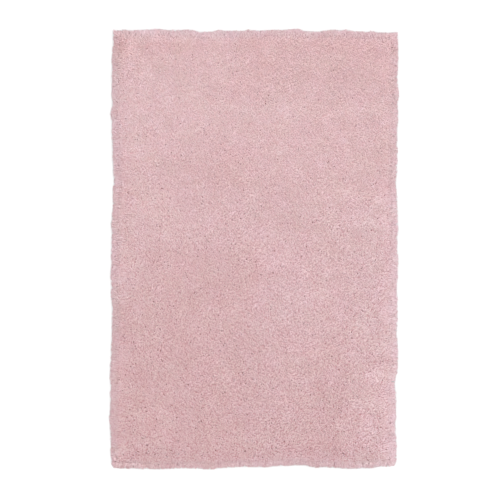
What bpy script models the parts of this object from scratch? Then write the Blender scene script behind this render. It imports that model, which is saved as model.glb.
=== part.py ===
"""A shag rug lying flat: one lumpy slab of long pile, with tapering locks of pile all along its rim.

Metres, +Z up. X runs across the rug and Y along it, and the origin is at the middle of the underside.
"""

import random

import bmesh
import bpy
from mathutils import Vector, noise

# ------------------------------------------------------------------ driving dimensions, in metres
WIDTH = 1.304  # from the tuft tips of one long side to those of the other
LENGTH = 2.000  # from the tuft tips of one short side to those of the other
PILE_HEIGHT = 0.0280  # mean height of the pile's top over the floor
RIM_HEIGHT = 0.0215  # the pile's height where it rounds over at the rim
SWELL = 0.0038  # how far the pile's broad swells rise or sink from the mean height
SWELL_SPREAD = 0.085  # the size of a swell across
DIMPLE = 0.0023  # how far the pile between two lumps rises or sinks besides
LUMP_RISE = 0.0038  # the highest that a lump stands over the pile around it
LUMP_SINK = 0.0017  # the deepest that it sinks below
LOCK_REACH = 0.020  # from a lock's root to the rug's outline
FAN = 0.045  # how far from a corner the locks start to fan out round it
FAN_LEAN = 1.30  # how far sideways, in shares of its reach, a lock right at a corner would lean

# Corners of the tufts' outline, seen from above: the right-hand side is a little the shorter one.
CORNERS = {
    "top_left": Vector((-0.648, 1.002)),
    "top_right": Vector((0.656, 0.995)),
    "bottom_right": Vector((0.648, -0.994)),
    "bottom_left": Vector((-0.657, -1.005)),
}

# How far the locks at each corner reach: a full share keeps it square, a smaller one rounds it off.
CORNER_SHARE = {"top_left": 0.95, "top_right": 0.92, "bottom_right": 0.80, "bottom_left": 0.70}

# The rim bulges out and draws in. Columns: distance from the side's upper or left end, outward bulge.
LEFT_RIM = (
    (0.03, -0.003),
    (0.10, 0.005),
    (0.17, 0.001),
    (0.25, 0.006),
    (0.32, 0.002),
    (0.36, 0.006),
    (0.45, -0.002),
    (0.54, -0.002),
    (0.69, -0.008),
    (0.76, 0.000),
    (0.80, -0.005),
    (0.87, 0.003),
    (0.96, -0.003),
    (1.05, 0.003),
    (1.16, 0.002),
    (1.33, -0.003),
    (1.38, 0.001),
    (1.42, -0.004),
    (1.49, 0.000),
    (1.71, 0.005),
    (1.82, 0.003),
    (1.90, -0.001),
)
RIGHT_RIM = (
    (0.03, 0.000),
    (0.16, 0.002),
    (0.21, -0.001),
    (0.28, 0.003),
    (0.35, -0.002),
    (0.38, 0.005),
    (0.42, -0.001),
    (0.50, -0.002),
    (0.58, 0.002),
    (0.67, -0.006),
    (0.76, -0.005),
    (0.87, 0.002),
    (0.98, -0.001),
    (1.05, 0.006),
    (1.12, 0.001),
    (1.16, 0.004),
    (1.25, -0.001),
    (1.34, 0.003),
    (1.38, -0.002),
    (1.46, 0.005),
    (1.53, 0.003),
    (1.64, -0.006),
    (1.71, -0.003),
    (1.86, -0.001),
    (1.93, 0.002),
)
TOP_RIM = (
    (0.03, -0.003),
    (0.14, 0.002),
    (0.22, 0.003),
    (0.30, -0.001),
    (0.36, 0.000),
    (0.39, -0.008),
    (0.44, -0.005),
    (0.49, 0.005),
    (0.52, -0.003),
    (0.65, 0.002),
    (0.80, 0.003),
    (0.85, 0.006),
    (0.93, -0.002),
    (1.04, 0.004),
    (1.09, 0.002),
    (1.12, -0.004),
    (1.22, -0.005),
    (1.28, -0.003),
)
BOTTOM_RIM = (
    (0.06, -0.002),
    (0.23, 0.003),
    (0.34, 0.001),
    (0.36, -0.002),
    (0.40, 0.003),
    (0.48, 0.002),
    (0.58, -0.001),
    (0.61, -0.006),
    (0.65, 0.002),
    (0.72, -0.003),
    (0.78, -0.006),
    (0.86, -0.011),
    (0.91, -0.002),
    (0.94, 0.001),
    (1.02, -0.002),
    (1.08, 0.005),
    (1.19, 0.005),
    (1.22, 0.001),
    (1.28, 0.001),
)

# ------------------------------------------------------------------ how finely the slab is made
CELLS_ACROSS = 27
CELLS_ALONG = 41
RIM_CUTS = 3  # each rim cell is cut into lock, gap, lock, gap
LOCK_SHARE = 0.42  # a lock's share of its cell's length; a gap has the rest of a half
SHIFT = 0.009  # how far the lumps stray sideways from an even grid
NEARLY_NONE = 1e-4  # shares of the sheet closer than this are the same place
SEED = 7

CROWN_SHARE = 0.75  # how little a lump beside the rim follows the rim down
UPRIGHT = 0.3  # a face that leans less than this from upright belongs to the rim's wall

# A lock's sections past its root. Columns: share of its reach, height over the floor, share of root width.
LOCK_SECTIONS = (
    (0.55, 0.0140, 0.82),
    (1.00, 0.0055, 0.44),
)
LOCK_LONGEST = 1.18  # a lock's tip passes the outline, or falls short of it, by these shares of its reach
LOCK_SHORTEST = 0.80
LOCK_THICKEST = 1.15  # a lock is thicker or thinner than the table says by these shares
LOCK_THINNEST = 0.85
LOCK_WANDER = 0.005  # how far a lock's tip strays along the rim

PILE_PINK = (0.694, 0.462, 0.473, 1.0)


def bulge(rim, distance):
    """The rim's outward bulge at a distance along its side, eased from one row of its table to the next."""
    for (start, low), (end, high) in zip(rim, rim[1:]):
        if distance <= end:
            share = max(0.0, (distance - start) / (end - start))
            return low + (high - low) * share * share * (3 - 2 * share)
    return rim[-1][1]


def plan_point(across, along, inset):
    """The plan place at a share of the width and of the length, drawn in from the outline by inset."""
    near = CORNERS["bottom_left"].lerp(CORNERS["bottom_right"], across)
    far = CORNERS["top_left"].lerp(CORNERS["top_right"], across)
    point = near.lerp(far, along)
    left = bulge(LEFT_RIM, (1 - along) * LENGTH) - inset
    right = bulge(RIGHT_RIM, (1 - along) * LENGTH) - inset
    top = bulge(TOP_RIM, across * WIDTH) - inset
    bottom = bulge(BOTTOM_RIM, across * WIDTH) - inset
    point.x += right * across - left * (1 - across)
    point.y += top * along - bottom * (1 - along)
    return point


def rim_share(share, cells):
    """Moves a cut on the rim so that wide locks and narrow gaps take turns along it."""
    cell, within = divmod(share * cells + NEARLY_NONE, 1)
    half, within = divmod(within * 2, 1)
    if within < 0.25:
        return share
    return (cell + half / 2 + LOCK_SHARE) / cells


def in_order(parts, place):
    """Parts of a mesh sorted by where they are, so that each draws the same random numbers every time."""
    return sorted(parts, key=lambda part: [round(number, 5) for number in place(part)])


def flat_sheet():
    """A square sheet of cells, one unit across, with the cuts for the locks along its border."""
    sheet = bmesh.new()
    bmesh.ops.create_grid(sheet, x_segments=CELLS_ACROSS, y_segments=CELLS_ALONG, size=0.5)
    border = [edge for edge in sheet.edges if edge.is_boundary]
    bmesh.ops.bisect_edges(sheet, edges=border, cuts=RIM_CUTS)
    for vert in sheet.verts:
        vert.co.x += 0.5
        vert.co.y += 0.5
        if vert.is_boundary:
            if min(vert.co.y, 1 - vert.co.y) < NEARLY_NONE:
                vert.co.x = rim_share(vert.co.x, CELLS_ACROSS)
            else:
                vert.co.y = rim_share(vert.co.y, CELLS_ALONG)
    return sheet


def top_height(point):
    """The lumpy height of the pile's top at a plan place."""
    swell = SWELL * noise.noise((point.x / SWELL_SPREAD, point.y / SWELL_SPREAD, 0.5))
    return PILE_HEIGHT + swell + random.uniform(-DIMPLE, DIMPLE)


def make_slab():
    """Raises the sheet into a closed slab in the rug's plan, with a flat underside and a crowned rim."""
    slab = flat_sheet()
    underside = list(slab.faces)
    rim = {vert for vert in slab.verts if vert.is_boundary}
    inner = [face for face in underside if not rim.intersection(face.verts)]
    raised = bmesh.ops.extrude_face_region(slab, geom=underside)["geom"]
    top_faces = [part for part in raised if isinstance(part, bmesh.types.BMFace)]
    top_verts = {vert for face in top_faces for vert in face.verts}
    bmesh.ops.dissolve_faces(slab, faces=inner)
    for vert in in_order(slab.verts, lambda vert: (vert in top_verts, *vert.co)):
        across, along = vert.co.x, vert.co.y
        at_rim = min(across, along, 1 - across, 1 - along) < NEARLY_NONE
        point = plan_point(across, along, LOCK_REACH)
        if not at_rim:
            point += Vector((random.uniform(-SHIFT, SHIFT), random.uniform(-SHIFT, SHIFT)))
        height = 0.0
        if vert in top_verts:
            height = top_height(point)
            if at_rim:
                height += RIM_HEIGHT - PILE_HEIGHT
        vert.co = (point.x, point.y, height)
    return slab, top_faces


def raise_lumps(slab, top_faces):
    """Gives each cell of the top a lump or a hollow of its own."""
    crowns = bmesh.ops.poke(slab, faces=top_faces, center_mode="MEAN")["verts"]
    for crown in in_order(crowns, lambda crown: crown.co):
        crown.co.x += random.uniform(-SHIFT, SHIFT)
        crown.co.y += random.uniform(-SHIFT, SHIFT)
        level = crown.co.z + CROWN_SHARE * (top_height(crown.co) - crown.co.z)
        crown.co.z = level + random.uniform(-LUMP_SINK, LUMP_RISE)


def lock_course(root):
    """Where the lock on a root face runs: out from the rim, and round the corner if it is near one."""
    middle = root.calc_center_median().to_2d()
    outward = Vector((round(root.normal.x), round(root.normal.y)))
    corner = min(CORNERS, key=lambda name: (CORNERS[name] - middle).length)
    along = CORNERS[corner] - middle
    along -= outward * along.dot(outward)
    near_corner = max(0.0, 1 - (along.length - LOCK_REACH) / FAN)
    course = outward + along.normalized() * near_corner * FAN_LEAN
    wander = Vector((-outward.y, outward.x)) * random.uniform(-LOCK_WANDER, LOCK_WANDER)
    reach = LOCK_REACH * random.uniform(LOCK_SHORTEST, LOCK_LONGEST)
    reach *= 1 + near_corner * (CORNER_SHARE[corner] - 1)
    return course * reach + wander * (1 - near_corner)


def grow_lock(slab, root):
    """Draws one lock out of a face of the rim, tapering and drooping to rest along the floor."""
    course = lock_course(root)
    middle = root.calc_center_median()
    root_places = [vert.co.copy() for vert in root.verts]
    half_height = max(place.z for place in root_places) / 2
    face = root
    for reach_share, height, width_share in LOCK_SECTIONS:
        face = bmesh.ops.extrude_discrete_faces(slab, faces=[face])["faces"][0]
        height *= random.uniform(LOCK_THINNEST, LOCK_THICKEST)
        for vert, place in zip(face.verts, root_places):
            sideways = (place - middle).to_2d() * width_share
            vert.co.x, vert.co.y = middle.to_2d() + sideways + course * reach_share
            vert.co.z = height if place.z > half_height else 0.0


def grow_locks(slab):
    """Grows a lock on every wide face of the rim; the narrow faces between them stay as the gaps."""
    slab.normal_update()
    wall = [face for face in slab.faces if abs(face.normal.z) < UPRIGHT and len(face.verts) == 4]
    even_cut = min(WIDTH / CELLS_ACROSS, LENGTH / CELLS_ALONG) / (RIM_CUTS + 1)
    for face in in_order(wall, lambda face: face.calc_center_median()):
        floor_edge = min(face.edges, key=lambda edge: edge.verts[0].co.z + edge.verts[1].co.z)
        if floor_edge.calc_length() > even_cut:
            grow_lock(slab, face)


def centre(slab):
    """Puts the middle of the finished underside at the origin."""
    xs = [vert.co.x for vert in slab.verts]
    ys = [vert.co.y for vert in slab.verts]
    middle = Vector((min(xs) + max(xs), min(ys) + max(ys), 0)) / 2
    bmesh.ops.translate(slab, verts=slab.verts, vec=-middle)


def pile_material():
    """Soft matt pink pile."""
    material = bpy.data.materials.new("soft_pink_pile")
    material.use_nodes = True
    shader = material.node_tree.nodes["Principled BSDF"]
    shader.inputs["Base Color"].default_value = PILE_PINK
    shader.inputs["Roughness"].default_value = 0.95
    shader.inputs["Metallic"].default_value = 0.0
    return material


def make_rug():
    """The whole rug, as one closed solid."""
    random.seed(SEED)
    slab, top_faces = make_slab()
    bmesh.ops.recalc_face_normals(slab, faces=slab.faces)
    grow_locks(slab)
    raise_lumps(slab, top_faces)
    bmesh.ops.triangulate(slab, faces=slab.faces, quad_method="SHORT_EDGE", ngon_method="BEAUTY")
    bmesh.ops.recalc_face_normals(slab, faces=slab.faces)
    centre(slab)
    mesh = bpy.data.meshes.new("shag_pile")
    slab.to_mesh(mesh)
    slab.free()
    mesh.materials.append(pile_material())
    return bpy.data.objects.new("shag_pile", mesh)


for old in list(bpy.data.objects):
    bpy.data.objects.remove(old)
collection = bpy.data.collections.new("shag_rug")
bpy.context.scene.collection.children.link(collection)
collection.objects.link(make_rug())
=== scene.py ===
# %% [markdown]
# # A pale pink shag rug
#
# The real rug is one tufted field. Its soft yarn ends, hundreds of thousands of them and about 3 cm long,
# are punched through a ground cloth. They fall over one another into small tufts, and those on the border
# hang over the cut edge down to the floor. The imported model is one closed, lumpy slab with locks of pile
# round its rim.
#
# This lesson dresses that slab: first the felted lower pile that shows dark between the yarns, then the
# field of yarn ends, then the border of ends that hang over the rim. Each end is real geometry, and is a
# wisp that stands for a few of the real ones. The script measures the slab instead of repeating its sizes,
# so the dressed rug keeps the outline, the thickness and the swells of the solid.

import bmesh
import bpy
import numpy as np
from mathutils.bvhtree import BVHTree
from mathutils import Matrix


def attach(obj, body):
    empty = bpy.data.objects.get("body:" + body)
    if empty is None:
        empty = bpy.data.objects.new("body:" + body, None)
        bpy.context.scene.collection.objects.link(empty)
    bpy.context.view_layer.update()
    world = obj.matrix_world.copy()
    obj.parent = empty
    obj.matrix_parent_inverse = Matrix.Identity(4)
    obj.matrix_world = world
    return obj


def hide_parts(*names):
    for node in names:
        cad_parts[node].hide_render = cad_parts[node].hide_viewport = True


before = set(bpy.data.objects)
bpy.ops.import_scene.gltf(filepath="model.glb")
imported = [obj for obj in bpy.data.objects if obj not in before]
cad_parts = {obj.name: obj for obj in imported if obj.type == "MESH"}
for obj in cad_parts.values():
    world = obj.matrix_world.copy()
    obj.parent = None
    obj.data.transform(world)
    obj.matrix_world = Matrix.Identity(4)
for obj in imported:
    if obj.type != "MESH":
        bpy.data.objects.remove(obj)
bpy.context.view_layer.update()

# %% [markdown]
# ## Measure the slab
#
# Two things are read from the solid: where the tips of its locks lie, side by side, and how high its top is
# at any place. The tips are the only points of the solid that are a few millimetres above the floor, so
# their height picks them out. Each side then becomes a line of places that can be looked up with
# `np.interp`.

# %% The line of the lock tips, side by side
LOCK_TIP_LOW = 0.003  # the tips lie between these two heights
LOCK_TIP_HIGH = 0.009
CORNER = 0.03  # tips this near a corner belong to its fan

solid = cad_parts["shag_pile"]
solid_points = np.array([vert.co for vert in solid.data.vertices])
low_corner, high_corner = solid_points.min(0), solid_points.max(0)


def tip_line(axis, towards):
    """Where the lock tips of one side lie: places along the side, and how far out the tips reach there."""
    along = 1 - axis
    tips = solid_points[(solid_points[:, 2] > LOCK_TIP_LOW) & (solid_points[:, 2] < LOCK_TIP_HIGH)]
    edge = (high_corner if towards > 0 else low_corner)[axis]
    tips = tips[np.abs(tips[:, axis] - edge) < CORNER]
    inside = (tips[:, along] > low_corner[along] + CORNER) & (tips[:, along] < high_corner[along] - CORNER)
    tips = np.unique(tips[inside].round(5), axis=0)
    tips = tips[np.argsort(tips[:, along])]
    return tips[:, along], tips[:, axis]


RIM = {
    "left": tip_line(0, -1),
    "right": tip_line(0, 1),
    "bottom": tip_line(1, -1),
    "top": tip_line(1, 1),
}
print("lock tips on each side:", {side: len(places) for side, (places, _) in RIM.items()})

# %% [markdown]
# A lock's tip is a few millimetres wide and the next one starts a little further on, so the line jumps. The
# yarn ends of the real border spread between the locks. Averaging the line over about two locks gives the
# edge that those ends follow.

# %% The rug's edge and how far a place is inside it
EDGE_SPREAD = 0.014  # the tip line is averaged over this far to each side
EDGE_LOOKS = 7  # at this many places


def edge_at(side, places):
    """The rug's edge on one side, at places along it."""
    shifts = np.linspace(-EDGE_SPREAD, EDGE_SPREAD, EDGE_LOOKS)
    return np.mean([np.interp(places + shift, *RIM[side]) for shift in shifts], axis=0)


def edge_distances(x, y):
    """How far inside the four edges each place lies: left, right, bottom, top."""
    left = x - edge_at("left", y)
    right = edge_at("right", y) - x
    bottom = y - edge_at("bottom", x)
    top = edge_at("top", x) - y
    return np.stack([left, right, bottom, top], axis=-1)


middle = np.zeros(1)
print("from the middle to the four edges:", edge_distances(middle, middle)[0].round(4), "m")

# %% [markdown]
# The two far corners of the rug are nearly square and the two near ones are rounder, so each corner has its
# own radius, and a circle of that radius fits between the two edges.

# %% How round each corner is
CORNER_ROUND = np.array([[0.030, 0.003], [0.026, 0.006]])  # left and right, near corner first


def off_edge(x, y):
    """How far inside the outline each place lies, with its round corners. Outside it is below 0."""
    left, right, bottom, top = edge_distances(x, y).T
    side, end = np.minimum(left, right), np.minimum(bottom, top)
    radius = CORNER_ROUND[(x > 0).astype(int), (y > 0).astype(int)]
    gap = np.hypot(np.maximum(radius - side, 0), np.maximum(radius - end, 0))
    return np.where(gap > 0, radius - gap, np.minimum(side, end))


print("corner radii, left and right:", (1000 * CORNER_ROUND).round(1).tolist(), "mm")

# %% How high the slab is
slab_faces = [tuple(face.vertices) for face in solid.data.polygons]
slab_tree = BVHTree.FromPolygons(solid_points.tolist(), slab_faces)


def slab_height(x, y):
    """The height of the slab's top at each place, found by looking straight down on it."""
    heights = np.zeros(len(x))
    for index, (place_x, place_y) in enumerate(zip(x.tolist(), y.tolist())):
        hit = slab_tree.ray_cast((place_x, place_y, 1.0), (0, 0, -1))[0]
        heights[index] = hit.z if hit else 0.0
    return heights


print("the slab is", slab_height(middle, middle)[0].round(4), "m high in the middle")

# %% [markdown]
# ## The felted lower pile
#
# Deep down, the yarns of a shag press together into a mat that the ground cloth holds. One closed slab does
# for both: it follows the solid's swells at a little over half their height, ends where the ground cloth is
# cut, and has a flat underside. A cube could be cut to this shape, but a grid that is mapped into the rug's
# plan and extruded up follows an uneven outline with less work. It is only seen in the depth between the
# yarn ends, and from below.

# %% Shape of the lower pile
CLOTH_INSET = 0.018  # the cut edge of the ground cloth, in from the tips of the border
MAT_SHARE = 0.62  # height of the lower pile, as a share of the whole
MAT_EDGE = 0.005  # and its height at the cut edge
MAT_CELL = 0.021  # of the grid
ROUGH = 0.0012  # small unevenness of the lower pile

draw = np.random.default_rng(20)
print("the lower pile is", round(1000 * MAT_SHARE * high_corner[2], 1), "mm high at most")

# %% From shares of the rug's plan to places
def in_plan(across, along, inset):
    """Maps shares of the width and length to places in the rug's plan, drawn in from its edge."""
    x = low_corner[0] + across * (high_corner[0] - low_corner[0])
    y = low_corner[1] + along * (high_corner[1] - low_corner[1])
    left, right = edge_at("left", y) + inset, edge_at("right", y) - inset
    bottom, top = edge_at("bottom", x) + inset, edge_at("top", x) - inset
    return left + across * (right - left), bottom + along * (top - bottom)


# %% Make the lower pile
def make_lower_pile():
    """The closed slab of ground cloth and matted pile under the yarn ends."""
    size = high_corner - low_corner
    cells = [round(size[0] / MAT_CELL), round(size[1] / MAT_CELL)]
    mat = bmesh.new()
    bmesh.ops.create_grid(mat, x_segments=cells[0], y_segments=cells[1], size=0.5)
    raised = bmesh.ops.extrude_face_region(mat, geom=list(mat.faces))["geom"]
    tops = {part for part in raised if isinstance(part, bmesh.types.BMVert)}
    verts = list(mat.verts)
    shares = np.array([vert.co for vert in verts]) + 0.5
    x, y = in_plan(shares[:, 0], shares[:, 1], CLOTH_INSET)
    nearest = edge_distances(x, y).min(axis=1) - CLOTH_INSET
    level = MAT_SHARE * slab_height(x, y) + draw.uniform(-ROUGH, ROUGH, len(x))
    level = np.where(nearest < MAT_CELL / 3, MAT_EDGE, level)
    for vert, place_x, place_y, height in zip(verts, x, y, level):
        vert.co = (place_x, place_y, height if vert in tops else 0.0)
    bmesh.ops.recalc_face_normals(mat, faces=mat.faces)
    for face in mat.faces:
        face.material_index = 1 if face.normal.z < -0.5 else 0
        face.smooth = True
    mesh = bpy.data.meshes.new("lower_pile")
    mat.to_mesh(mesh)
    mat.free()
    piece = bpy.data.objects.new("lower_pile", mesh)
    bpy.context.scene.collection.objects.link(piece)
    return piece


lower_pile = make_lower_pile()
print("lower pile:", len(lower_pile.data.polygons), "faces")

# %% [markdown]
# ## One yarn end
#
# A yarn end of a shag is a soft wisp: it comes out of the mat thin, opens where it bends over and closes
# again to its tip. Hair strands are the usual way to make it, but the exported rug has to be a mesh. So it
# is modelled once, as a three-sided cone whose base is poked and drawn down to the root. The border's end
# has one more ring cut into it, to bend twice and stay full nearly to its tip. All the ends of the rug are
# copies that are bent along their own curve, so the pattern keeps, for each of its points, how far along
# the end it is, its angle round it and its girth.

# %% The pattern of a yarn end
SIDES = 3


class YarnPattern:
    """A straight yarn end of unit length and girth, from its root at 0 to its tip at 1."""

    def __init__(self, rings):
        """rings is a table from root to tip, with the columns: how far along, girth."""
        first = rings[1][0]
        end = bmesh.new()
        bmesh.ops.create_cone(end, cap_ends=True, segments=SIDES, radius1=1, radius2=0, depth=1 - first)
        bmesh.ops.translate(end, verts=end.verts, vec=(0, 0, (1 + first) / 2))
        cap = min(end.faces, key=lambda face: face.calc_center_median().z)
        root = bmesh.ops.poke(end, faces=[cap])["verts"][0]
        root.co.z = 0
        for along, _ in rings[2:-1]:
            everything = end.verts[:] + end.edges[:] + end.faces[:]
            bmesh.ops.bisect_plane(end, geom=everything, plane_co=(0, 0, along), plane_no=(0, 0, 1))
        bmesh.ops.recalc_face_normals(end, faces=end.faces)
        end.verts.index_update()
        places = np.array([vert.co for vert in end.verts])
        self.along = places[:, 2]
        self.girth = np.interp(self.along, *np.array(rings).T)
        self.angle = np.arctan2(places[:, 1], places[:, 0])
        self.faces = [[vert.index for vert in face.verts] for face in end.faces]
        self.triangles = sum(len(face) - 2 for face in self.faces)
        end.free()


field_end = YarnPattern(((0.0, 0.0), (0.5, 1.0), (1.0, 0.0)))
border_end = YarnPattern(((0.0, 0.0), (0.4, 1.0), (0.78, 0.85), (1.0, 0.0)))
print("triangles of a yarn end: field", field_end.triangles, "and border", border_end.triangles)

# %% [markdown]
# ## Bending many ends at once
#
# Every end runs from its root past an elbow to its tip on a quadratic curve. A Curve modifier could bend
# one end, but not a hundred thousand. With NumPy the curves of all the ends are worked out together, and
# the rings of the pattern are set square to them. The ends of one part of the rug are joined into one mesh.

# %% Bend copies of the pattern
FLATNESS = 0.6  # how thick an end is for its width
LOWEST = 0.0003  # no point lies lower, so nothing dips into the floor


def bend(pattern, root, elbow, tip, girth):
    """The points of one bent copy of the pattern for each root."""
    t = pattern.along[None, :, None]
    centre = (1 - t) ** 2 * root[:, None] + 2 * t * (1 - t) * elbow[:, None] + t**2 * tip[:, None]
    course = 2 * (1 - t) * (elbow - root)[:, None] + 2 * t * (tip - elbow)[:, None]
    course /= np.linalg.norm(course, axis=2, keepdims=True)
    lean = tip - root
    flat = np.stack([-lean[:, 1], lean[:, 0], np.zeros(len(lean))], axis=1)
    flat /= np.maximum(np.linalg.norm(flat, axis=1, keepdims=True), 1e-9)
    beside = np.broadcast_to(flat[:, None], course.shape)
    above = np.cross(course, beside)
    turn = pattern.angle[None, :, None]
    width = girth[:, None, None] * pattern.girth[None, :, None]
    points = centre + width * (FLATNESS * np.cos(turn) * above + np.sin(turn) * beside)
    points[..., 2] = np.maximum(points[..., 2], LOWEST)
    return points


# %% [markdown]
# Four numbers are kept on each point for the material: how far along its end it is, which paints shade at
# the root and a highlight at the tip, the end's own tint, how pale the lay's painted light and shade make
# its place, and how grey it is near the rim. A map named OFBake gives each end a small cell
# of its own, so that its colours can be baked: across the cell is round the end, and up it is along the
# end.

# %% Lay out the map
MAP_MARGIN = 0.12  # the share of a cell that is left free on each side of its yarn end


def cell_places(pattern):
    """Where the corners of one end's faces lie in its cell: across, then up."""
    across = []
    for face in pattern.faces:
        turn = (pattern.angle[face] / (2 * np.pi)) % 1
        ring = pattern.girth[face] > 0
        if np.ptp(turn[ring]) > 0.5:
            turn = np.where(turn < 0.5, turn + 1, turn)
        turn[~ring] = turn[ring].mean()
        across.extend(turn / (1 + 1 / SIDES))
    corners = [corner for face in pattern.faces for corner in face]
    return np.array(across), pattern.along[corners]


def lay_out_map(mesh, pattern, count):
    """Adds the map to a mesh of that many ends."""
    across, up = cell_places(pattern)
    columns = int(np.ceil(np.sqrt(count)))
    cell = np.arange(count)
    inner = 1 - 2 * MAP_MARGIN
    u = (cell % columns)[:, None] + MAP_MARGIN + inner * across[None]
    v = (cell // columns)[:, None] + MAP_MARGIN + inner * up[None]
    layer = mesh.uv_layers.new(name="OFBake")
    layer.data.foreach_set("uv", (np.stack([u, v], axis=-1) / columns).astype(np.float32).ravel())


# %% Join the copies into one object
def keep_number(mesh, name, numbers):
    """Keeps one number on each point of a mesh."""
    kept = mesh.attributes.new(name, "FLOAT", "POINT")
    kept.data.foreach_set("value", numbers.astype(np.float32))


def plant(name, pattern, root, elbow, tip, girth, numbers):
    """Joins one bent copy of the pattern for each root into one object, and keeps its ends' numbers."""
    points = bend(pattern, root, elbow, tip, girth)
    count, per_end, _ = points.shape
    corners = [corner for face in pattern.faces for corner in face]
    sizes = [len(face) for face in pattern.faces]
    loops = np.array(corners)[None] + per_end * np.arange(count)[:, None]
    starts = len(corners) * np.arange(count)[:, None] + np.cumsum([0] + sizes[:-1])[None]
    mesh = bpy.data.meshes.new(name)
    mesh.vertices.add(count * per_end)
    mesh.vertices.foreach_set("co", points.astype(np.float32).ravel())
    mesh.loops.add(loops.size)
    mesh.loops.foreach_set("vertex_index", loops.astype(np.int32).ravel())
    mesh.polygons.add(starts.size)
    mesh.polygons.foreach_set("loop_start", starts.astype(np.int32).ravel())
    mesh.update(calc_edges=True)
    mesh.shade_smooth()
    keep_number(mesh, "along_end", np.tile(pattern.along, count))
    for number_name, number in zip(("tint", "lay", "rim_grey"), numbers.T):
        keep_number(mesh, number_name, np.repeat(number, per_end))
    lay_out_map(mesh, pattern, count)
    piece = bpy.data.objects.new(name, mesh)
    bpy.context.scene.collection.objects.link(piece)
    return piece


# %% [markdown]
# ## How the pile lies
#
# A rug's pile has a lay, the way that all its ends lean, and it is disturbed wherever the rug was folded,
# rolled or brushed. Ends that lie over show their pale sides, and ends that stand up let the eye into the
# deeper colour between them. This rug has been folded in panels: the near half is a little darker than the
# far half, with a faint line across the middle, and some panels lie their own way. Hands and feet left soft
# patches besides, and the two short edges have bands of their own. Painting these marks on a texture would
# be quick, but a tone that is worked out from a table can both lean the ends and tint them. The tint is
# painted light and shade: the ends are made paler or darker where the lay would light or shade them.

# %% Panels of the lay
# Columns: low and high end across, low and high end along, and how many steps of 255 the panel is paler,
# or darker below 0.
LAY_PANELS = (
    (-0.70, 0.00, -1.10, 0.00, -3.5),
    (0.46, 0.70, -1.10, 0.00, 4.0),
    (-0.08, 0.70, 0.74, 1.10, -3.5),
    (-0.66, -0.25, 0.40, 0.80, 1.0),
    (-0.70, 0.70, 0.30, 1.10, -1.4),
)
PANEL_SOFT = 0.025  # over which a panel's edge fades
print("panels that lie their own way:", len(LAY_PANELS))

# %% Patches of the lay
# Columns: place across and along, half size across and along, turn in degrees, and how many steps of 255 the
# patch is paler, or darker below 0.
LAY_PATCHES = (
    (-0.62, 0.94, 0.07, 0.07, 0, -6.5),
    (-0.42, 0.88, 0.16, 0.06, 0, -3.5),
    (0.02, 0.82, 0.08, 0.08, 0, -1.5),
    (0.56, 0.90, 0.12, 0.12, 0, -1.0),
    (-0.47, 0.70, 0.20, 0.09, 35, 2.0),
    (-0.09, 0.70, 0.06, 0.04, 0, -4.5),
    (-0.05, 0.63, 0.06, 0.035, 0, 4.5),
    (0.13, 0.63, 0.06, 0.04, 0, 4.5),
    (-0.58, 0.45, 0.08, 0.16, 0, 1.5),
    (-0.14, 0.34, 0.12, 0.12, 0, -4.5),
    (-0.62, 0.22, 0.05, 0.10, 0, -5.0),
    (0.12, 0.22, 0.07, 0.10, 0, -2.0),
    (0.56, 0.12, 0.12, 0.08, 0, 5.0),
    (-0.55, -0.01, 0.12, 0.018, 0, 2.0),
    (-0.22, -0.04, 0.08, 0.05, 0, -3.5),
    (0.00, -0.10, 0.025, 0.08, 0, -6.0),
    (-0.58, -0.14, 0.09, 0.09, 0, 5.0),
    (0.16, -0.22, 0.12, 0.12, 0, 4.5),
    (-0.34, -0.36, 0.06, 0.20, 0, -2.5),
    (-0.52, -0.60, 0.05, 0.11, 0, -3.0),
    (-0.23, -0.86, 0.20, 0.07, 0, -1.0),
    (0.33, -0.68, 0.12, 0.25, 0, -3.0),
    (0.60, -0.85, 0.06, 0.10, 0, 1.5),
    (0.31, -0.90, 0.08, 0.05, 0, -5.0),
    (0.00, -0.945, 2.00, 0.042, 0, 5.5),
    (0.00, -1.00, 2.00, 0.02, 0, -6.5),
    (0.00, 0.925, 2.00, 0.030, 0, -3.0),
    (0.00, 0.985, 2.00, 0.018, 0, 5.0),
)
print("soft patches and bands:", len(LAY_PATCHES))

# %% The tone of the lay
# The tone leans the ends, and the same tone is painted into their colour as light and shade.
FOLD_Y = 0.0  # where the rug had been folded across
FOLD_SOFT = 0.012  # over which the fold fades
NEAR_DARKER = 0.3  # how many steps of painted shade the near half has at the fold
NEAR_FALL = 1.2  # and how many more at its end
PALEST = 10.0  # steps above the mean at which the lay counts as 1
DARKEST = -20.0  # and below it, as 0
FIELD_BROAD = 0.6  # strength of the broad swells of the lay, in steps
FIELD_FINE = 1.8  # and of the fine ones
BROAD_SWELL = 0.30  # their size
FINE_SWELL = 0.09
WAVES = 14  # waves that a random field is added up from


def step_up(places, start, softness):
    """A soft step from 0 to 1 where the places pass the start."""
    return 1 / (1 + np.exp(-np.clip((places - start) / softness, -40, 40)))


def smooth_field(x, y, size, seed):
    """A soft random field between about -1 and 1, with swells of the given size."""
    waves = np.random.default_rng(seed)
    total = np.zeros_like(x)
    for _ in range(WAVES):
        heading = waves.uniform(0, np.pi)
        length = size * waves.uniform(0.7, 1.6)
        phase = waves.uniform(0, 2 * np.pi)
        total += np.sin(2 * np.pi * (x * np.cos(heading) + y * np.sin(heading)) / length + phase)
    return total / np.sqrt(WAVES / 2) / 2


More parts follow.
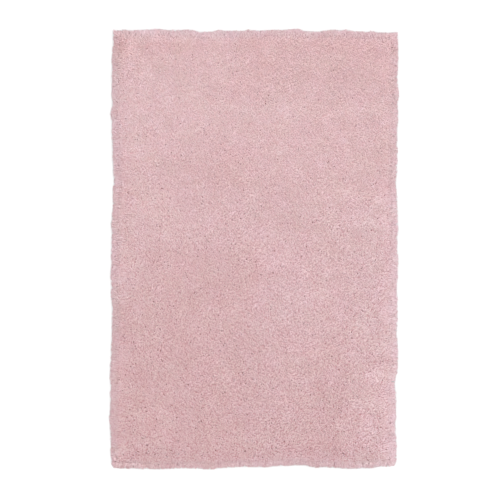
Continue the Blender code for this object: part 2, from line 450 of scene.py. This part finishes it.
def lay_tone(x, y):
    """How pale, above 0, or dark, below 0, the lay makes the pile at each place, as it leans the ends and as
    painted light and shade in their colour.
    """
    depth = np.clip((FOLD_Y - y) / (high_corner[1] - FOLD_Y), 0, 1)
    tone = -step_up(-y, -FOLD_Y, FOLD_SOFT) * (NEAR_DARKER + NEAR_FALL * depth)
    tone += FIELD_BROAD * smooth_field(x, y, BROAD_SWELL, 1) + FIELD_FINE * smooth_field(x, y, FINE_SWELL, 2)
    for low_x, high_x, low_y, high_y, strength in LAY_PANELS:
        across = step_up(x, low_x, PANEL_SOFT) * step_up(-x, -high_x, PANEL_SOFT)
        along = step_up(y, low_y, PANEL_SOFT) * step_up(-y, -high_y, PANEL_SOFT)
        tone += strength * across * along
    for place_x, place_y, half_x, half_y, degrees, strength in LAY_PATCHES:
        turn = np.radians(degrees)
        right = (x - place_x) * np.cos(turn) + (y - place_y) * np.sin(turn)
        up = (y - place_y) * np.cos(turn) - (x - place_x) * np.sin(turn)
        tone += strength * np.exp(-((right / half_x) ** 2) - (up / half_y) ** 2)
    return tone


def painted_lay_share(tone):
    """The lay's tone as a share between its darkest painted shade, 0, and its palest painted light, 1."""
    return (tone - DARKEST) / (PALEST - DARKEST)


print("tone of the lay in the middle:", lay_tone(middle, middle)[0].round(2), "steps")

# %% [markdown]
# No two ends are quite alike, so each gets a tint of its own, and the tufts differ too. An end's tone, which
# is painted into its colour as the light and shade of the lay, is read where the eye sees it, most of the
# way to its tip, because its root may stand in another mark of the lay. The ends are greyer near the rim,
# and the grey fades out towards the field.

# %% The numbers of each end
TINT_SPREAD = 0.20  # how much single ends differ, where 0 is the dustiest and 1 the palest
BORDER_SPREAD = 0.60  # and in the border, where more of each end shows
SEEN_AT = 0.75  # how far along an end the stretch lies that the eye sees
TUFT_TONE = 2.7  # how many steps of 255 a tuft is paler or darker than the next
GREY_REACH = 0.045  # how far in from the edge the ends are greyed


def end_numbers(root, tip, tuft, spread):
    """The tint, the painted lay shade and the rim grey of the ends with these roots and tips, in these
    tufts.
    """
    tint = draw.normal(0.5, spread, len(root))
    seen = root + SEEN_AT * (tip - root)
    # the lay's tone, painted into the colour as light and shade, with the tufts' own tone
    lay = painted_lay_share(lay_tone(seen[:, 0], seen[:, 1]) + TUFT_TONE * tuft_tone[tuft])
    rim_grey = np.clip(1 - off_edge(tip[:, 0], tip[:, 1]) / GREY_REACH, 0, 1)
    return np.stack([tint, lay, rim_grey], axis=1)


# %% [markdown]
# ## Tufts
#
# Yarn ends don't stand evenly: six or so cling together in a tuft, and each tuft flops its own way. Tufts
# could be modelled one by one and scattered, but they would repeat. Here tuft centres are scattered, and
# every root looks up the nearest one. The ends of one tuft share a heading and draw together, which opens
# the small partings that make a shag look like one.

# %% Tufts
TUFT_PITCH = 0.0115  # between neighbouring tufts
TUFT_STRAY = 0.42  # of that pitch
ROW_SHARE = 0.866  # rows lie closer than places in a row, as in a honeycomb


def scattered(pitch, stray):
    """Rows of places, every other row half a step along, each strayed a little."""
    low, high = low_corner, high_corner
    rows = int((high[1] - low[1]) / (pitch * ROW_SHARE))
    columns = int((high[0] - low[0]) / pitch)
    row, column = np.meshgrid(np.arange(rows), np.arange(columns), indexing="ij")
    x = low[0] + (column + 0.5 * (row % 2)) * pitch + draw.uniform(-stray, stray, row.shape) * pitch
    y = low[1] + row * pitch * ROW_SHARE + draw.uniform(-stray, stray, row.shape) * pitch
    return x, y


tuft_x, tuft_y = scattered(TUFT_PITCH, TUFT_STRAY)
tuft_turn = draw.uniform(0, 2 * np.pi, tuft_x.shape)
tuft_flop = draw.uniform(0.35, 1.0, tuft_x.shape)
tuft_rise = draw.uniform(-1.0, 1.0, tuft_x.shape)
tuft_tone = draw.normal(0.0, 1.0, tuft_x.shape)
print("tufts:", tuft_x.size)


def nearest_tuft(x, y):
    """The row and column of the tuft whose centre is nearest to each place."""
    rows, columns = tuft_x.shape
    best = np.full(len(x), np.inf)
    best_row = np.zeros(len(x), int)
    best_column = np.zeros(len(x), int)
    middle_row = np.rint((y - low_corner[1]) / (TUFT_PITCH * ROW_SHARE)).astype(int)
    for row_step in (-1, 0, 1):
        row = np.clip(middle_row + row_step, 0, rows - 1)
        middle_column = np.rint((x - low_corner[0]) / TUFT_PITCH - 0.5 * (row % 2)).astype(int)
        for column_step in (-1, 0, 1):
            column = np.clip(middle_column + column_step, 0, columns - 1)
            away = np.hypot(x - tuft_x[row, column], y - tuft_y[row, column])
            closer = away < best
            best = np.where(closer, away, best)
            best_row = np.where(closer, row, best_row)
            best_column = np.where(closer, column, best_column)
    return best_row, best_column


# %% [markdown]
# ## How the pile rolls over the rim
#
# The pile ends in a round shoulder. Two rules make it. Near the edge an end leans out the more, the nearer
# it is rooted to the edge, so tips spread over the shoulder. And no tip stands higher than the shoulder's
# curve at its place, a quarter round that comes down to the low tips of the border.

# %% The shoulder
ROLL_WIDTH = 0.100  # ends lean out from this far inside the edge
ROLL_REACH = 0.022  # how far an end at the very edge would lean out
ROLL_POWER = 1.5
ROLL_CALM = 0.7  # how much less the lay and the tufts carry them there
SHOULDER = 0.040  # radius of the quarter round, along the floor
SHOULDER_FOOT = 0.0015  # height of the border's lowest tips


def outward(x, y):
    """The way out to the nearest edge, or into the corner, as a unit heading."""
    pull = np.clip(1 - edge_distances(x, y) / ROLL_WIDTH, 0, None) ** 2
    heading = np.stack([pull[:, 1] - pull[:, 0], pull[:, 3] - pull[:, 2]], axis=1)
    return heading / np.maximum(np.linalg.norm(heading, axis=1, keepdims=True), 1e-9)


def shoulder(inside, full):
    """The height of the pile's surface at a distance inside the edge, where it is full height further in."""
    share = np.clip(inside / SHOULDER, 0, 1)
    return SHOULDER_FOOT + (full - SHOULDER_FOOT) * np.sqrt(1 - (1 - share) ** 2)


print("halfway across the shoulder the pile is", shoulder(SHOULDER / 2, high_corner[2]).round(4), "m high")

# %% [markdown]
# ## The field
#
# Each root sits a little below the top of the lower pile. The lean of an end adds up the lay, the tuft's
# flop, the pull of the tuft's middle and a little of its own. The lay points away from the near end, fans
# out to the long sides and sways in swells, as pile does that was brushed by hand. An end that leans far
# comes less high, since all are of one length, and one that stands upright spreads open like a brush.

# %% How the field's ends stand and lean
END_PITCH = 0.00472  # between neighbouring roots
ROOT_STRAY = 0.40  # of that pitch
ROOT_SINK = 0.004  # how far below the lower pile's top a root starts
END_GIRTH = 0.0031  # from the middle of a yarn end to its corners
FIELD_GIRTHS = (0.85, 1.15)  # of that, the thinnest and the thickest end
OPENING = 0.35  # how much wider, as a share, an end opens that stands upright
INSIDE_CUT = 0.0015  # roots stand at least this far inside the cut edge of the ground cloth
LAY_HEADING = np.pi / 2  # the pile lies away from the near end
LAY_FAN = 0.35  # how much it also spreads to the sides, in radians at the long edges
BROAD_SWAY = (0.35, 0.40)  # how far the lay turns in broad swells, in radians, and their size
FINE_SWAY = (0.6, 0.09)  # and in fine ones
LAY_LEAN = 0.0105  # how far the lay carries a tip
PALE_LEAN = 0.02  # how much further, as a share, for each step that the lay is paler
LAY_SHARES = (0.5, 1.3)  # but no less and no more than these shares
TUFT_LEAN = 0.0045  # how far a tuft's flop carries it at most
TUFT_PULL = 0.15  # how far it is drawn to its tuft's middle, as a share of the way
OWN_LEAN = 0.0038  # how far it strays by itself
LONGEST_LEAN = 0.022
LEAN_SINK = 0.22  # how much lower, as a share, the tip of an end that leans furthest is
TUFT_RISE = 0.035  # how much the tufts differ in height, as a share
END_RISE = (-0.07, 0.03)  # and how much single ends do
ROOT_LOWEST = 0.002
ELBOW_AT = 0.4  # how far along its lean an end has its elbow
ELBOW_UP = 0.95  # and how near that comes to the full height there, as a share
FIELD_SHY = (0.002, 0.0025)  # how far inside the outline tips stay at the rim: the mean, and the spread


# %% Keep tips inside the outline
def reined_in(x, y, lean, wanted, only_beyond=False):
    """Scales leans so that the tips end the wanted distance inside the outline."""
    at_root = off_edge(x, y)
    at_tip = off_edge(x + lean[:, 0], y + lean[:, 1])
    scale = (at_root - wanted) / np.maximum(at_root - at_tip, 1e-4)
    if only_beyond:
        scale = np.where(at_tip < wanted, scale, 1)
    return lean * np.clip(scale, 0, 2)[:, None]


# %% Where the field's ends run
def field_ends():
    """Root, elbow, tip, girth and numbers of every yarn end of the field."""
    x, y = (places.ravel() for places in scattered(END_PITCH, ROOT_STRAY))
    on_cloth = off_edge(x, y) > CLOTH_INSET + INSIDE_CUT
    x, y = x[on_cloth], y[on_cloth]
    count = len(x)
    full = slab_height(x, y)
    tone = lay_tone(x, y)
    tuft = nearest_tuft(x, y)
    fan = LAY_FAN * -x / high_corner[0]
    lay_turn = LAY_HEADING + fan + BROAD_SWAY[0] * smooth_field(x, y, BROAD_SWAY[1], 3)
    lay_turn += FINE_SWAY[0] * smooth_field(x, y, FINE_SWAY[1], 4)
    lay = LAY_LEAN * np.clip(1 + PALE_LEAN * tone, *LAY_SHARES)
    flop = TUFT_LEAN * tuft_flop[tuft]
    lean = np.stack([lay * np.cos(lay_turn) + flop * np.cos(tuft_turn[tuft]),
                     lay * np.sin(lay_turn) + flop * np.sin(tuft_turn[tuft])], axis=1)
    lean += TUFT_PULL * np.stack([tuft_x[tuft] - x, tuft_y[tuft] - y], axis=1)
    lean += draw.normal(0, OWN_LEAN, (count, 2))
    inside = off_edge(x, y)
    roll = np.clip(1 - inside / ROLL_WIDTH, 0, 1)
    lean = lean * (1 - ROLL_CALM * roll[:, None]) + outward(x, y) * (ROLL_REACH * roll**ROLL_POWER)[:, None]
    long = np.linalg.norm(lean, axis=1)
    lean *= (np.minimum(long, LONGEST_LEAN) / long)[:, None]
    lean = reined_in(x, y, lean, draw.normal(*FIELD_SHY, count), only_beyond=True)
    sink = LEAN_SINK * (np.linalg.norm(lean, axis=1) / LONGEST_LEAN) ** 2
    height = full * (1 - sink + TUFT_RISE * tuft_rise[tuft] + draw.uniform(*END_RISE, count))
    tip_height = np.minimum(height, shoulder(off_edge(x + lean[:, 0], y + lean[:, 1]), height))
    start = np.maximum(MAT_SHARE * full - ROOT_SINK, ROOT_LOWEST)
    root = np.stack([x, y, start], axis=1)
    tip = np.stack([x + lean[:, 0], y + lean[:, 1], tip_height], axis=1)
    bend_x, bend_y = x + ELBOW_AT * lean[:, 0], y + ELBOW_AT * lean[:, 1]
    bend_height = start + ELBOW_UP * (shoulder(off_edge(bend_x, bend_y), height) - start)
    elbow = np.stack([bend_x, bend_y, bend_height], axis=1)
    upright = 1 - np.minimum(np.linalg.norm(lean, axis=1) / LAY_LEAN, 1)
    girth = END_GIRTH * (1 + OPENING * upright) * draw.uniform(*FIELD_GIRTHS, count)
    return root, elbow, tip, girth, end_numbers(root, tip, tuft, TINT_SPREAD)


ends = field_ends()
print("highest tip of the field:", round(1000 * ends[2][:, 2].max(), 1), "mm")

# %% Plant the field in bands
BANDS = 6  # the field is planted in bands across the rug, to keep each mesh light

band_of = ((ends[0][:, 1] - low_corner[1]) / (high_corner[1] - low_corner[1]) * BANDS).astype(int)
pile_bands = []
for band in range(BANDS):
    own = band_of == band
    pile_bands.append(plant(f"pile_band_{band + 1}", field_end, *(part[own] for part in ends)))
print("the field has", len(band_of), "yarn ends,", len(band_of) * field_end.triangles, "triangles")

# %% [markdown]
# ## The border
#
# Round the cut edge the ends hang out over the ground cloth to the floor. They could be planted as the
# field is, only with more lean, but that leaves the edge of the lower pile bare. So they are rooted at
# several heights on it. Each comes out under the shoulder's round, arches over it and hangs down it, as
# hair hangs over a head, so the lowest tips reach the floor and the highest lie well inside the rim. They
# gather into tufts as the field does, and the tufts differ in length, so the outline is ragged.

# %% How the border's ends hang
BORDER_ENDS = 14000
BORDER_GIRTH = 0.0028
BORDER_GIRTHS = (0.75, 1.15)  # of that, the thinnest and the thickest end
HIGHEST_TIP = 0.55  # how far round the shoulder the highest tips hang, in radians from its top
LOW_TIERS = 0.8  # below 1, more of the tips hang low
FLOOR_EVERY = 4  # one end in this many lies on the floor from its root, and closes the foot of the border
DRAPE = 0.55  # how far round the shoulder an end bends before its tip, in radians
ARCH = 1.1  # how high the elbow of a high end lies, as a share of the shoulder there
UNDERCOAT = 0.9  # low ends arch less high by up to this share, and fill the space under the others
FLOOR_FLAT = 0.5  # and ends on the floor by at least this share of it
ROOT_STEP = 0.022  # how much further in a higher tier is rooted than the lowest, up to this
ROOT_STRAYS = (0.6, 1.5)  # of that step, the least and the most
ROOT_IN = (0.001, 0.005)  # how far inside the cut edge the lowest tier is rooted
BORDER_PULL = 0.45  # how far an end is drawn along the rim to its tuft's middle, as a share of the way
OWN_DRIFT = 0.0055  # how far it strays along the rim by itself
TUFT_DRIFT = 0.008  # how far the flop of its tuft carries it along the rim
FLOOR_DRIFT = 0.4  # the share of all that which is left on the floor
FULL_AT = 0.006  # the slab's height is read this far further in
LEAN_OUT = 0.02  # a first lean, before it is reined in
ELBOW_BACK = 0.004  # an elbow lies no further than this behind its tip
TIP_DROOP = (0.6, 1.0)  # how high a tip hangs, as a share of the shoulder there
SHY = 0.0016  # how far short of the tip line the border ends on average
TUFT_RAGGED = 0.0020  # how much the tufts differ in reach
END_RAGGED = 0.0020  # and how much single ends do


# %% Places round the edge and on the shoulder
def round_the_edge(count):
    """Places spread along the cut edge of the ground cloth."""
    width, length = (high_corner - low_corner)[:2]
    step = 2 * (width + length) * (np.arange(count) + draw.uniform(0, 1, count)) / count
    side = np.searchsorted([width, width + length, 2 * width + length], step)
    share = np.choose(side, [step / width, (step - width) / length, (step - width - length) / width,
                             (step - 2 * width - length) / length])
    across = np.choose(side, [share, np.ones(count), 1 - share, np.zeros(count)])
    along = np.choose(side, [np.zeros(count), share, np.ones(count), 1 - share])
    return in_plan(across, along, CLOTH_INSET)


def on_shoulder(angle, full):
    """How far inside the outline, and how high, the shoulder is at an angle from its top."""
    return SHOULDER * (1 - np.sin(angle)), SHOULDER_FOOT + (full - SHOULDER_FOOT) * np.cos(angle)


# %% Where the border's ends run
def border_ends():
    """Root, elbow, tip, girth and numbers of the yarn ends that hang over the cut edge."""
    x, y = round_the_edge(BORDER_ENDS)
    out = outward(x, y)
    angle = HIGHEST_TIP + (np.pi / 2 - HIGHEST_TIP) * draw.uniform(0, 1, BORDER_ENDS) ** LOW_TIERS
    on_floor = np.arange(BORDER_ENDS) % FLOOR_EVERY == 0
    angle[on_floor] = np.pi / 2
    tier = np.cos(angle)
    inward = ROOT_STEP * tier * draw.uniform(*ROOT_STRAYS, BORDER_ENDS)
    inward += draw.uniform(*ROOT_IN, BORDER_ENDS)
    x, y = x - out[:, 0] * inward, y - out[:, 1] * inward
    tuft = nearest_tuft(x, y)
    beside = np.stack([-out[:, 1], out[:, 0]], axis=1)
    off_tuft = np.stack([tuft_x[tuft] - x, tuft_y[tuft] - y], axis=1)
    drift = BORDER_PULL * np.sum(off_tuft * beside, axis=1) + draw.normal(0, OWN_DRIFT, BORDER_ENDS)
    drift += TUFT_DRIFT * np.sin(tuft_turn[tuft])
    drift[on_floor] *= FLOOR_DRIFT
    full = slab_height(x - FULL_AT * out[:, 0], y - FULL_AT * out[:, 1])
    tip_inside, tip_height = on_shoulder(angle, full)
    bend_inside, bend_height = on_shoulder(angle - DRAPE, full)
    ragged = SHY + TUFT_RAGGED * tuft_rise[tuft] + draw.normal(0, END_RAGGED, BORDER_ENDS)
    lean = reined_in(x, y, out * LEAN_OUT + beside * drift[:, None], tip_inside + ragged)
    carried = reined_in(x, y, lean, np.minimum(bend_inside, ELBOW_BACK + tip_inside) + ragged)
    start = ROOT_LOWEST + (MAT_EDGE - ROOT_LOWEST) * np.minimum(2 * tier, 1)
    root = np.stack([x, y, start], axis=1)
    lift = ARCH - UNDERCOAT * (1 - tier) * draw.uniform(np.where(on_floor, FLOOR_FLAT, 0), 1)
    elbow = np.stack([x + carried[:, 0], y + carried[:, 1], lift * bend_height], axis=1)
    hang = tip_height * draw.uniform(*TIP_DROOP, BORDER_ENDS)
    tip = np.stack([x + lean[:, 0], y + lean[:, 1], hang], axis=1)
    girth = BORDER_GIRTH * draw.uniform(*BORDER_GIRTHS, BORDER_ENDS)
    return root, elbow, tip, girth, end_numbers(root, tip, tuft, BORDER_SPREAD)


# %% Plant the border
pile_border = plant("pile_border", border_end, *border_ends())
print("the border has", BORDER_ENDS, "yarn ends,", BORDER_ENDS * border_end.triangles, "triangles")

# %% [markdown]
# ## Yarn and ground cloth
#
# The yarn is matt, a pale dusty pink. Its colour is painted with shade towards the root and with a highlight
# at the tip. One flat pink would look like plastic, and a picture of yarn would repeat,
# so the colour is built from what the ends know of themselves: how far along they are, their tint, the
# painted light and shade of the lay, and the grey near the rim. Flecks break it up, and the dye took a
# little unevenly. A faint sheen stands for the fuzz of fine fibres, and a fine bump for the twist.

# %% Yarn colours
UNCHANGED = (1.0, 1.0, 1.0, 1.0)  # multiplied in, it leaves a colour as it is
# the root colour is painted shade, and the tip colour a painted highlight
YARN_ROOT_SHADE = (0.722, 0.444, 0.463, 1.0)
YARN_BODY = (0.753, 0.58, 0.607, 1.0)
YARN_TIP_HIGHLIGHT = (0.835, 0.714, 0.742, 1.0)
END_DUSTY = (0.686, 0.466, 0.49, 1.0)
END_PALE = (0.834, 0.714, 0.749, 1.0)
LAY_PAINTED_SHADE = (0.855, 0.70, 0.66, 1.0)  # painted shade: what the darkest lay leaves of the colour
FLECK = 180.0  # flecks to the metre
FLECK_DARK = (0.87, 0.82, 0.82, 1.0)  # what a fleck leaves of the colour
GREY_AT_RIM = (0.785, 0.772, 0.795, 1.0)  # what the grey leaves of the colour at the rim
DYE_SWELLS = 14.0  # swells of the dye to the metre
DYE_BEIGE = (0.982, 0.992, 0.972, 1.0)
DYE_MAUVE = (1.0, 0.981, 1.0, 1.0)
YARN_ROUGHNESS = 0.9
YARN_SHINE = 0.15
FUZZ = 0.2  # strength of the sheen
FUZZ_TINT = (1.0, 0.9, 0.9, 1.0)
TWISTS = 1400.0  # to the metre
TWIST_DEPTH = 0.0004

# %% Helpers for colours
def new_material(name):
    """A new node material, with its tree and its shader."""
    material = bpy.data.materials.new(name)
    material.use_nodes = True
    tree = material.node_tree
    return material, tree, tree.nodes["Principled BSDF"]


def attribute(tree, name):
    """A node that reads a number kept on the mesh."""
    node = tree.nodes.new("ShaderNodeAttribute")
    node.attribute_name = name
    return node.outputs["Fac"]


def ramp(tree, factor, stops):
    """A colour ramp. stops is a table with the columns: place, colour."""
    node = tree.nodes.new("ShaderNodeValToRGB")
    elements = node.color_ramp.elements
    while len(elements) < len(stops):
        elements.new(0.5)
    for element, (place, colour) in zip(elements, stops):
        element.position = place
        element.color = colour
    tree.links.new(factor, node.inputs["Fac"])
    return node.outputs["Color"]


def mixed(tree, factor, first, second, kind="MIX"):
    """Mixes two colours by a share."""
    node = tree.nodes.new("ShaderNodeMix")
    node.data_type = "RGBA"
    node.blend_type = kind
    node.inputs["Factor"].default_value = factor
    tree.links.new(first, node.inputs["A"])
    tree.links.new(second, node.inputs["B"])
    return node.outputs["Result"]


def multiplied(tree, colour, *shares):
    """A colour of which each of the others in turn leaves only its share."""
    for share in shares:
        colour = mixed(tree, 1.0, colour, share, "MULTIPLY")
    return colour


# %% Helpers for patterns
def own_place(tree):
    """The object's own coordinates, which patterns in the material are set on."""
    return tree.nodes.new("ShaderNodeTexCoord").outputs["Object"]


def noise(tree, scale, detail):
    """A soft noise on the object's own coordinates."""
    node = tree.nodes.new("ShaderNodeTexNoise")
    node.inputs["Scale"].default_value = scale
    node.inputs["Detail"].default_value = detail
    tree.links.new(own_place(tree), node.inputs["Vector"])
    return node.outputs["Fac"]


def add_bump(tree, shader, height, depth, strength, invert=False):
    """Lets a pattern raise the surface in the light, by a depth in metres."""
    bump = tree.nodes.new("ShaderNodeBump")
    bump.invert = invert
    bump.inputs["Distance"].default_value = depth
    bump.inputs["Strength"].default_value = strength
    tree.links.new(height, bump.inputs["Height"])
    tree.links.new(bump.outputs["Normal"], shader.inputs["Normal"])


# %% Yarn material
def yarn_material():
    """Soft matt pink yarn with painted shade at the root and a painted highlight at the tip, each end with
    its own tint, its flecks and the painted light and shade of its lay.
    """
    material, tree, shader = new_material("pink_yarn")
    # painted shade towards the root and a painted highlight at the tip
    along = ramp(tree, attribute(tree, "along_end"), ((0.1, YARN_ROOT_SHADE), (0.55, YARN_BODY), (1.0, YARN_TIP_HIGHLIGHT)))
    own = ramp(tree, attribute(tree, "tint"), ((0.0, END_DUSTY), (1.0, END_PALE)))
    flecks = ramp(tree, noise(tree, FLECK, 1.0), ((0.4, FLECK_DARK), (0.6, UNCHANGED)))
    # painted light and shade of the lay
    painted_lay_shade = ramp(tree, attribute(tree, "lay"), ((0.0, LAY_PAINTED_SHADE), (1.0, UNCHANGED)))
    # the ends are greyer towards the rim
    greying = ramp(tree, attribute(tree, "rim_grey"), ((0.0, UNCHANGED), (1.0, GREY_AT_RIM)))
    dyed = ramp(tree, noise(tree, DYE_SWELLS, 2.0), ((0.35, DYE_BEIGE), (0.65, DYE_MAUVE)))
    colour = multiplied(tree, mixed(tree, 0.5, along, own), flecks, painted_lay_shade, greying, dyed)
    tree.links.new(colour, shader.inputs["Base Color"])
    shader.inputs["Roughness"].default_value = YARN_ROUGHNESS
    shader.inputs["Specular IOR Level"].default_value = YARN_SHINE
    shader.inputs["Sheen Weight"].default_value = FUZZ
    shader.inputs["Sheen Roughness"].default_value = 0.5
    shader.inputs["Sheen Tint"].default_value = FUZZ_TINT
    add_bump(tree, shader, noise(tree, TWISTS, 3.0), TWIST_DEPTH, 0.4)
    return material


yarn = yarn_material()
for piece in [*pile_bands, pile_border]:
    piece.data.materials.append(yarn)
print("the yarn's material has", len(yarn.node_tree.nodes), "nodes")

# %% [markdown]
# The lower pile has the same dye. Single yarns can't be told apart down there, so a pattern will do instead
# of more geometry: Voronoi cells draw the yarns that stand in it side by side, with painted light where one
# rises and painted shade where two meet. A few cells in a hundred are painted dark as the shade of gaps that
# reach down deep. The cells are painted with more shade towards the near end, which makes the dark between
# the ends stronger in the near half.

# %% Lower pile colours
MAT_PAINTED_SHADE = (0.71, 0.46, 0.48, 1.0)  # painted shade where two yarns meet
MAT_PAINTED_LIGHT = (0.91, 0.73, 0.75, 1.0)  # and painted light where one rises
MAT_SHADE_MIDDLE = (0.79, 0.67, 0.67, 1.0)  # painted shade: what it leaves of the colour in the middle of the rug
MAT_SHADE_NEAR = (0.74, 0.58, 0.58, 1.0)  # and at the near end
YARNS_TO_METRE = 210.0
GAP_PAINTED_SHADE = (0.24, 0.09, 0.10, 1.0)  # painted shade: what a dark gap between the yarns leaves of the colour
GAP_FROM = 0.962  # the share of the cells that are no such gap
GAP_SOFT = 0.001  # over which the gaps begin

# painted shade of the lower pile, stronger towards the near end
mat_y = np.array([vert.co.y for vert in lower_pile.data.vertices])
keep_number(lower_pile.data, "near_shade", 0.5 - mat_y / (high_corner[1] - low_corner[1]))
print("openness is kept on", len(mat_y), "points of the lower pile")

# %% Lower pile material
def lower_pile_material():
    """Pink pile in the depth between the yarn ends, a mosaic of yarns pressed together, with painted shade
    where they meet, in its dark gaps and towards the near end.
    """
    material, tree, shader = new_material("felted_pile")
    yarns = tree.nodes.new("ShaderNodeTexVoronoi")
    yarns.inputs["Scale"].default_value = YARNS_TO_METRE
    tree.links.new(own_place(tree), yarns.inputs["Vector"])
    # painted light on the yarns and painted shade where they meet
    cells = ramp(tree, yarns.outputs["Distance"], ((0.1, MAT_PAINTED_LIGHT), (0.7, MAT_PAINTED_SHADE)))
    chance = tree.nodes.new("ShaderNodeSeparateColor")
    tree.links.new(yarns.outputs["Color"], chance.inputs["Color"])
    # painted shade of gaps that reach down deep
    gap_shade = ramp(tree, chance.outputs["Red"], ((GAP_FROM, UNCHANGED), (GAP_FROM + GAP_SOFT, GAP_PAINTED_SHADE)))
    # painted shade, stronger towards the near end
    near_shade = attribute(tree, "near_shade")
    deeper = ramp(tree, near_shade, ((0.0, UNCHANGED), (0.5, MAT_SHADE_MIDDLE), (1.0, MAT_SHADE_NEAR)))
    tree.links.new(multiplied(tree, cells, gap_shade, deeper), shader.inputs["Base Color"])
    shader.inputs["Roughness"].default_value = 0.95
    add_bump(tree, shader, yarns.outputs["Distance"], 0.004, 0.8, invert=True)
    return material


lower_pile.data.materials.append(lower_pile_material())

# %% [markdown]
# The underside is the ground cloth, a plain pale weave. Its threads are too fine to model, so two sets of
# waves are crossed, and pale spots stand where a thread of each lies on top.

# %% Ground cloth material
CLOTH_PALE = (0.78, 0.70, 0.66, 1.0)
CLOTH_DEEP = (0.55, 0.47, 0.43, 1.0)
WEAVE_PITCH = 0.0025  # from one thread to the next
WAVE_LENGTH = 0.314  # of Blender's wave bands at a scale of 1, in metres


def woven_wave(tree, direction):
    """One set of threads of the weave, as bands of waves."""
    wave = tree.nodes.new("ShaderNodeTexWave")
    wave.bands_direction = direction
    wave.inputs["Scale"].default_value = WAVE_LENGTH / WEAVE_PITCH
    wave.inputs["Distortion"].default_value = 0.6
    tree.links.new(own_place(tree), wave.inputs["Vector"])
    return wave.outputs["Fac"]


def ground_cloth_material():
    """The plain woven cloth that holds the yarns, seen only from below."""
    material, tree, shader = new_material("ground_cloth_weave")
    threads = tree.nodes.new("ShaderNodeMath")
    threads.operation = "MULTIPLY"
    tree.links.new(woven_wave(tree, "X"), threads.inputs[0])
    tree.links.new(woven_wave(tree, "Y"), threads.inputs[1])
    colour = ramp(tree, threads.outputs["Value"], ((0.0, CLOTH_DEEP), (0.6, CLOTH_PALE)))
    tree.links.new(colour, shader.inputs["Base Color"])
    shader.inputs["Roughness"].default_value = 0.95
    add_bump(tree, shader, threads.outputs["Value"], 0.0006, 0.8)
    return material


lower_pile.data.materials.append(ground_cloth_material())
print("materials:", [material.name for material in bpy.data.materials])

# %% [markdown]
# ## Put the pieces on the model
#
# All the pieces stand for the one solid and ride on the model's only body. The lower
# pile with its ground cloth is the sheet of cloth that the rug is made on, and the yarn ends go with it.

for piece in [lower_pile, *pile_bands, pile_border]:
    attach(piece, "root")
    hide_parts("shag_pile")
print("pieces that stand for the solid:", 1 + len(pile_bands) + 1)

# %% [markdown]
# ## Floor, light and camera
#
# Rugs are sold on pictures like this one: from straight above, on white, with no hard shadow. The pale grey
# floor comes out white because the surround is bright and even. One soft key light from the right, and a
# little from the far end, gives the small partings of the pile their shade. A ring of lamps would do the
# same with more work. The camera looks straight down from high up.

# %% Floor
FLOOR_SIZE = 14.0  # in metres, along each side
FLOOR_WHITE = (0.60, 0.60, 0.60, 1.0)  # a pale grey, which the bright light turns white
FLOOR_DROP = 0.0006  # the floor lies this far under the rug, so the two don't flicker


def make_floor():
    """A plain pale floor."""
    sheet = bmesh.new()
    bmesh.ops.create_grid(sheet, x_segments=1, y_segments=1, size=FLOOR_SIZE / 2)
    bmesh.ops.translate(sheet, verts=sheet.verts, vec=(0, 0, -FLOOR_DROP))
    mesh = bpy.data.meshes.new("studio_floor")
    sheet.to_mesh(mesh)
    sheet.free()
    floor = bpy.data.objects.new("studio_floor", mesh)
    bpy.context.scene.collection.objects.link(floor)
    material, _, shader = new_material("floor_white")
    shader.inputs["Base Color"].default_value = FLOOR_WHITE
    shader.inputs["Roughness"].default_value = 0.9
    shader.inputs["Specular IOR Level"].default_value = 0.0
    mesh.materials.append(material)
    return floor


make_floor()
print("floor:", FLOOR_SIZE, "m square")

# %% Light
SURROUND = 1.80  # strength of the white surround
KEY_POWER = 0.80
KEY_SOFTNESS = 0.9  # how wide the key light looks from the rug, in radians
KEY_TURN = (0.80, 0.0, 1.90)


def make_light():
    """An even white surround and one soft key light."""
    world = bpy.data.worlds.new("surround")
    world.use_nodes = True
    background = world.node_tree.nodes["Background"]
    background.inputs["Color"].default_value = (1.0, 1.0, 1.0, 1.0)
    background.inputs["Strength"].default_value = SURROUND
    bpy.context.scene.world = world
    key = bpy.data.lights.new("key", "SUN")
    key.energy = KEY_POWER
    key.angle = KEY_SOFTNESS
    lamp = bpy.data.objects.new("key", key)
    lamp.rotation_euler = KEY_TURN
    bpy.context.scene.collection.objects.link(lamp)


make_light()
print("key light", KEY_POWER, "and surround", SURROUND)

# %% Camera
PIXEL = 0.004571  # metres of floor to one pixel of the 500 by 500 picture
PICTURE = 500
LENS = 70.0
SENSOR = 36.0
RUG_PIXEL = (254.3, 249.0)  # where the middle of the rug lies in the picture


def make_camera():
    """Straight over the rug, with the rug where it lies in the picture."""
    data = bpy.data.cameras.new("overhead")
    data.lens = LENS
    data.sensor_width = SENSOR
    data.clip_end = 50.0
    camera = bpy.data.objects.new("overhead", data)
    height = PICTURE * PIXEL * LENS / SENSOR
    right = (PICTURE / 2 - RUG_PIXEL[0]) * PIXEL
    up = (RUG_PIXEL[1] - PICTURE / 2) * PIXEL
    camera.location = (right, up, height)
    bpy.context.scene.collection.objects.link(camera)
    bpy.context.scene.camera = camera


make_camera()
bpy.context.scene.view_settings.view_transform = "Standard"
print("the camera hangs", round(bpy.context.scene.camera.location.z, 2), "m above the floor")
